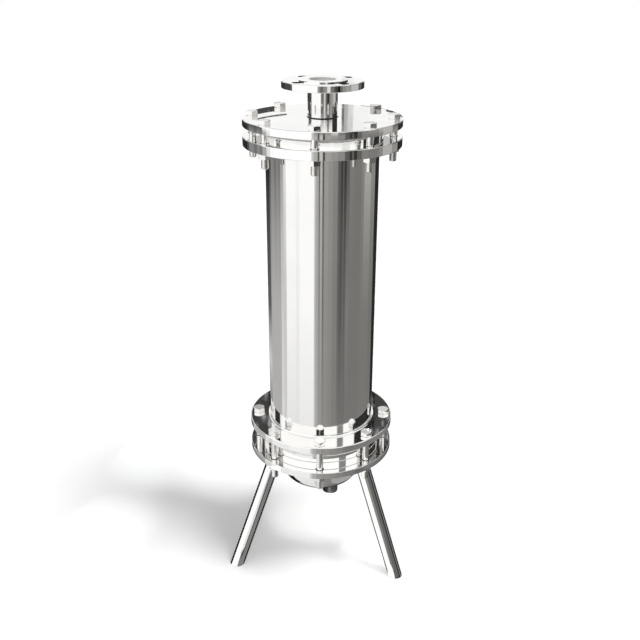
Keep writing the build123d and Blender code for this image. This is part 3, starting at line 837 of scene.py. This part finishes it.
# standing cards: from and to, distance, foot and head, then the glow of the card and of the streaks in it;
# the streaks are finer in the small cards just above the lid
standing = {
    "darkRight": (126, 150, 2.5, 1.35, 2.35, 0.01, 0.12),
    "darkBehindRight": (150, 171.3, 2.5, 1.53, 2.35, 0.005, 0.3),
    "greyBehindRight": (171.3, 173.1, 2.5, 1.53, 2.35, 0.06, 0.4),
    "darkBehind": (173.1, 186.4, 2.5, 1.53, 2.35, 0.01, 0.35),
    "greyBehindLeft": (186.4, 189.1, 2.5, 1.53, 2.35, 0.05, 0.4),
    "darkBehindLeft": (189.1, 204, 2.5, 1.53, 2.35, 0.005, 0.3),
    # thin dark cards just outside the cover's rim and above its top, which paint the dark arcs reflected in
    # the cover's top
    "lidArcLeft": (213, 240, 0.156, 0.979, 0.991, 0.07, 0.2),
    "lidArcInner": (209, 241, 0.1495, 0.9965, 0.9998, 0.08, 0.2),
    "lidArcRight": (126, 150, 0.156, 0.979, 0.981, 0.10, 0.2),
    "lidArcRight2": (98, 126, 0.156, 0.979, 0.985, 0.06, 0.2),
    "lidPanel": (175.8, 177.2, 5, 1.74, 2.3, 0.95, 1.0),
    "lidPanelMiddle": (177.2, 177.65, 5, 1.74, 2.3, 0.66, 0.75),
    "lidPanelDark": (177.65, 178.0, 5, 1.74, 2.3, 0.45, 0.55),
    "lidPanelEdge": (178.0, 178.2, 5, 1.74, 2.3, 0.12, 0.3),
    "whiteFront": (-100, 35, 2.6, 1.47, 3.0, 1.25, 1.25),
    "whiteFrontRight": (51, 79, 2.6, 1.47, 3.0, 1.25, 1.25),
    "panelRight": (80, 126, 2.5, 1.35, 2.6, 0.03, 0.03),
    "panelRightNear": (36, 50, 2.5, 1.5, 2.6, 0.28, 0.28),
    "panelLeft": (-126, -104, 2.5, 1.5, 2.6, 0.03, 0.03),
}
streaks = {
    "smallWithin": 1, "smallScale": 60, "scale": 30, "detail": 2, "stretch": (1, 1, 0.4),
    "cardTo": 0.575, "streakFrom": 0.61,
}


def onlyMirrored(thing):
    thing.visible_camera = False
    thing.visible_diffuse = False
    thing.visible_transmission = False
    thing.visible_volume_scatter = False
    thing.visible_shadow = False


def glowMaterial(name, glow):
    material = bpy.data.materials.new(name)
    material.use_nodes = True
    tree = material.node_tree
    tree.nodes.remove(tree.nodes["Principled BSDF"])
    light = tree.nodes.new("ShaderNodeEmission")
    light.inputs["Strength"].default_value = glow
    tree.links.new(light.outputs["Emission"], tree.nodes["Material Output"].inputs["Surface"])
    return material, tree, light


def paperMaterial(name, close, near, middle, far, distant, tint):
    material, tree, light = glowMaterial(name, studio["paperGlow"])
    distance = tree.nodes.new("ShaderNodeVectorMath")
    distance.operation = "LENGTH"
    tree.links.new(spotsOf(tree), distance.inputs[0])
    along = spread(tree, distance.outputs["Value"], 0, 1, 0, studio["bandReach"])
    between = studio["betweenGlow"].get(name, near + (middle - near) * 0.5)
    glows = {
        "close": close, "near": near, "between": between, "middle": middle,
        "far": far, "farEnd": far, "distant": distant,
    }
    stops = [(bands[band], tuple(glow * part for part in tint)) for band, glow in glows.items()]
    tree.links.new(colourRamp(tree, along, stops), light.inputs["Color"])
    return material


def cardMaterial(name, glow, streak, scale):
    material, tree, light = glowMaterial(name, 1)
    noise = noiseOf(tree, spotsOf(tree), scale, streaks["detail"], streaks["stretch"])
    stops = [(streaks["cardTo"], (glow, glow, glow)), (streaks["streakFrom"], (streak, streak, streak))]
    tree.links.new(colourRamp(tree, noise, stops), light.inputs["Color"])
    return material


def sweepEdge(name, line, start, end, material):
    # a line swept round the axis makes a sector of the floor or a standing card
    bm = bmesh.new()
    bmesh.ops.spin(
        bm, geom=polyline(bm, line), cent=(0, 0, 0), axis=(0, 0, 1), angle=radians(end - start),
        steps=max(2, int((end - start) / studio["sweepStep"])), use_merge=False, use_duplicate=False,
    )
    turned = Matrix.Rotation(radians(front + studio["cameraTurn"] + start), 4, "Z")
    bmesh.ops.transform(bm, matrix=turned, verts=bm.verts)
    onlyMirrored(newObject(name, bm, [material]))


for name, (start, end, near, middle, far, distant, tint) in papers.items():
    # paper to the side and behind is dark close by, for the edges of the legs
    close = studio["closeGlow"] if max(abs(start), abs(end)) > studio["closeFrom"] else near
    finish = paperMaterial(name, close, near, middle, far, distant, tint)
    line = [(studio["paperStart"], studio["paperLift"]), (studio["paperReach"], studio["paperLift"])]
    if not name.startswith("behind"):
        line.append((studio["paperReach"], studio["paperRise"]))
    sweepEdge(name, line, start, end, finish)
for name, (start, end, distance, low, high, glow, streak) in standing.items():
    scale = streaks["smallScale"] if distance < streaks["smallWithin"] else streaks["scale"]
    finish = cardMaterial(name, glow, streak, scale)
    sweepEdge(name, ((distance, low), (distance, high)), start, end, finish)

# narrow glowing strips that lean beside the two front legs and paint the legs' white and dark edges as
# painted reflections: leg, offset across, from and to in depth, glow; those nearest the leg have a foot on
# the floor that reaches to it, and the dish mirrors the other ones as painted white and grey patches
strips = {
    "leftLegEdge": (1, -0.032, -0.006, 0.06, 0.01),
    "leftLegWhite": (1, -0.032, -0.10, -0.006, 1.25),
    "leftLegDark": (1, 0.032, -0.10, -0.055, 0.07),
    "leftLegGrey": (1, 0.032, -0.055, -0.007, 0.25),
    "leftLegInner": (1, 0.032, -0.007, 0.06, 0.01),
    "leftDishWhite": (1, 0.034, -0.10, -0.007, 0.95),
    "rightLegInner": (2, -0.032, 0.000, 0.06, 0.01),
    "rightLegWhite": (2, -0.032, -0.10, 0.000, 1.25),
    "rightDishGrey": (2, -0.034, -0.10, 0.060, 0.42),
    "rightLegDark": (2, 0.032, -0.10, -0.022, 0.15),
    "rightLegLine": (2, 0.032, -0.022, -0.010, 0.03),
    "rightLegGrey": (2, 0.032, -0.010, 0.000, 0.24),
    "rightLegEdge": (2, 0.032, 0.000, 0.06, 0.01),
}
stripShape = {"lift": 0.0006, "share": 0.95, "footWithin": 0.033, "footShare": 0.95}
toCamera = Matrix.Rotation(radians(studio["cameraTurn"]), 4, "Z")
across, inwards = toCamera @ Vector((1, 0, 0)), toCamera @ Vector((0, 1, 0))
outwards = [away for angle, away in roundSpots(legs["count"], 1, legs["turn"])]
for name, (leg, offset, nearEnd, farEnd, glow) in strips.items():
    foot = outwards[leg] * legs["footReach"] * metres + across * offset + Vector((0, 0, stripShape["lift"]))
    lean = outwards[leg] * (legs["topReach"] - legs["footReach"]) * metres
    lean += Vector((0, 0, legs["top"] * metres))
    footShare = stripShape["footShare"] if abs(offset) < stripShape["footWithin"] else 0
    bm = bmesh.new()
    edge = bm.edges.new([bm.verts.new(foot + inwards * nearEnd), bm.verts.new(foot + inwards * farEnd)])
    for shift in (lean * stripShape["share"], across * -offset * footShare):
        moved = vertsOf(bmesh.ops.extrude_edge_only(bm, edges=[edge]))
        bmesh.ops.translate(bm, vec=shift, verts=moved)
    onlyMirrored(newObject(name, bm, [glowMaterial(name, glow)[0]]))


def paleFloor():
    bm = bmesh.new()
    bmesh.ops.create_circle(bm, cap_ends=True, segments=96, radius=studio["floorReach"])
    material, tree, surface = newMaterial("floorPaper", 0, 0.9, (0.9, 0.9, 0.9))
    surface.inputs["Specular IOR Level"].default_value = 0
    floor = newObject("floor", bm, [material])


def whiteSurround():
    # pure white to the camera, in mirrors and through what is clear; weaker as light
    world = bpy.data.worlds.new("surround")
    bpy.context.scene.world = world
    world.use_nodes = True
    tree = world.node_tree
    seen = tree.nodes["Background"]
    light = tree.nodes.new("ShaderNodeBackground")
    for background, strength in ((seen, studio["surroundSeen"]), (light, studio["surroundLight"])):
        background.inputs["Color"].default_value = (1, 1, 1, 1)
        background.inputs["Strength"].default_value = strength
    path = tree.nodes.new("ShaderNodeLightPath")
    isSeen = path.outputs["Is Camera Ray"]
    for ray in ("Is Glossy Ray", "Is Transmission Ray"):
        either = tree.nodes.new("ShaderNodeMath")
        either.operation = "MAXIMUM"
        tree.links.new(isSeen, either.inputs[0])
        tree.links.new(path.outputs[ray], either.inputs[1])
        isSeen = either.outputs[0]
    mix = tree.nodes.new("ShaderNodeMixShader")
    tree.links.new(isSeen, mix.inputs["Fac"])
    tree.links.new(light.outputs["Background"], mix.inputs[1])
    tree.links.new(seen.outputs["Background"], mix.inputs[2])
    tree.links.new(mix.outputs["Shader"], tree.nodes["World Output"].inputs["Surface"])


sunLook = {"turn": 64, "rise": 63, "strength": 2.1, "spread": 20}


def keySun():
    sunData = bpy.data.lights.new("keySun", "SUN")
    sunData.energy = sunLook["strength"]
    sunData.angle = radians(sunLook["spread"])
    sun = bpy.data.objects.new("keySun", sunData)
    bpy.context.scene.collection.objects.link(sun)
    turn = radians(front + studio["cameraTurn"] + sunLook["turn"])
    rise = radians(sunLook["rise"])
    towards = Vector((cos(turn) * cos(rise), sin(turn) * cos(rise), sin(rise)))
    sun.rotation_mode = "QUATERNION"
    sun.rotation_quaternion = towards.to_track_quat("Z", "Y")
    sun.visible_glossy = False


# soft fills that thin the shadow on the floor: place, radius and glow
fills = {
    "fillUnder": (-0.03, 0.11, 0.15, 0.5),
    "fillBehind": (-0.25, 0.24, 0.16, 0.25),
    "fillFar": (-0.44, 0.28, 0.18, 0.2),
    "fillLeft": (-0.50, 0.01, 0.14, 0.18),
    "fillFront": (-0.06, -0.02, 0.13, 0.15),
    "fillRight": (0.12, -0.055, 0.095, 0.38),
}
fillLook = {"height": 0.6, "power": 44}


def softFill(name, x, y, radius, glow):
    fillData = bpy.data.lights.new(name, "SPOT")
    fillData.energy = glow * fillLook["power"] * fillLook["height"] ** 2
    fillData.spot_size = 2 * atan2(radius, fillLook["height"])
    fillData.spot_blend = 1
    fillData.use_shadow = False
    fill = bpy.data.objects.new(name, fillData)
    fill.location = (x, y, fillLook["height"])
    fill.visible_glossy = False
    bpy.context.scene.collection.objects.link(fill)


paleFloor()
whiteSurround()
keySun()
for name, (x, y, radius, glow) in fills.items():
    softFill(name, x, y, radius, glow)
print("studio ready:", len(papers) + len(standing) + len(strips), "papers, cards and strips")


# camera: metres and degrees, with its lens and sensor in millimetres
view = {
    "turn": 6.0, "distance": 1.622, "height": 1.266, "side": -0.003, "down": 23.5, "lean": 0.26,
    "lens": 47.8125, "sensor": 36, "clipStart": 0.05,
}
viewTurn = radians(view["turn"])
cameraData = bpy.data.cameras.new("camera")
cameraData.lens = view["lens"]
cameraData.sensor_width = view["sensor"]
cameraData.clip_start = view["clipStart"]
camera = bpy.data.objects.new("camera", cameraData)
bpy.context.scene.collection.objects.link(camera)
sideways = Vector((cos(viewTurn), sin(viewTurn), 0)) * view["side"]
back = Vector((sin(viewTurn) * view["distance"], -cos(viewTurn) * view["distance"], view["height"]))
aim = Matrix.Rotation(viewTurn, 4, "Z") @ Matrix.Rotation(radians(90 - view["down"]), 4, "X")
roll = Matrix.Rotation(radians(view["lean"]), 4, "Z")
camera.matrix_world = Matrix.Translation(back + sideways) @ aim @ roll
bpy.context.scene.camera = camera
bpy.context.scene.view_settings.view_transform = "Standard"
